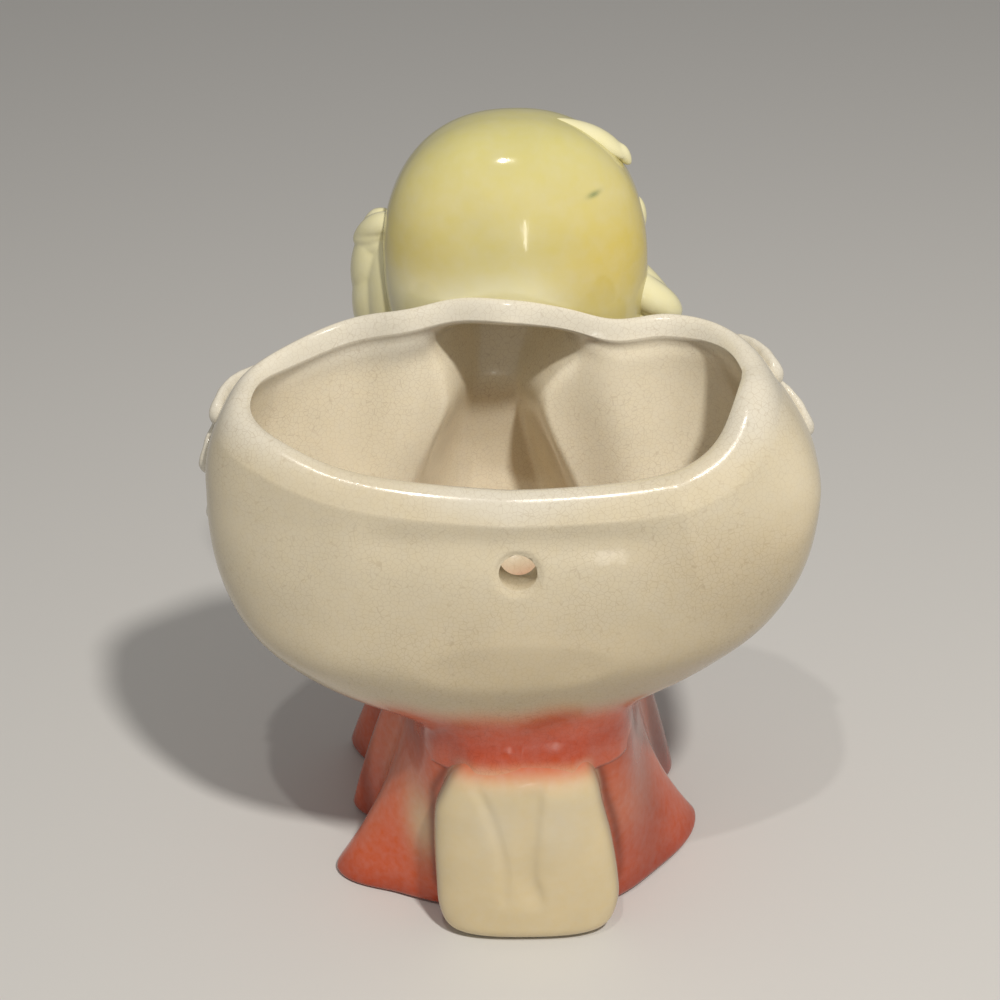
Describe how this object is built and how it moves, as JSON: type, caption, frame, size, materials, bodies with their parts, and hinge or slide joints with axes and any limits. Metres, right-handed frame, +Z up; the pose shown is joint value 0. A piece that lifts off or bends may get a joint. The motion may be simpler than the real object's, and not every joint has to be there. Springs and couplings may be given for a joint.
{
  "type": "wall pocket planter",
  "caption": "Glazed earthenware wall pocket planter shaped as a small winged figure in a pleated robe, with an open pocket behind the head and a hanging hole in its back.",
  "frame": {"origin": "centre of the box at the level of the base", "axes": "+Z up, +Y towards the wall, so the figure looks along -Y and +X is to its left"},
  "size_m": [0.1316, 0.0936, 0.1755],
  "materials": {
    "cream_glaze": "gloss",
    "yellow_glaze": "gloss",
    "pink_glaze": "gloss",
    "skin_glaze": "gloss"
  },
  "bodies": {
    "root": {"pocket_back": "cream_glaze", "pocket_front": "cream_glaze", "robe": "pink_glaze", "waist_ring": "pink_glaze", "foot_plate": "cream_glaze", "hair_cap": "yellow_glaze", "face": "skin_glaze", "curl_left": "yellow_glaze", "curl_right": "yellow_glaze", "top_lock": "yellow_glaze", "wing_left": "cream_glaze", "wing_right": "cream_glaze", "sleeve_left": "pink_glaze", "sleeve_right": "pink_glaze", "hands": "skin_glaze", "fringe_curl_1": "yellow_glaze", "fringe_curl_2": "yellow_glaze", "fringe_curl_3": "yellow_glaze", "fringe_curl_4": "yellow_glaze", "fringe_curl_5": "yellow_glaze", "fringe_curl_6": "yellow_glaze"}
  },
  "joints": []
}
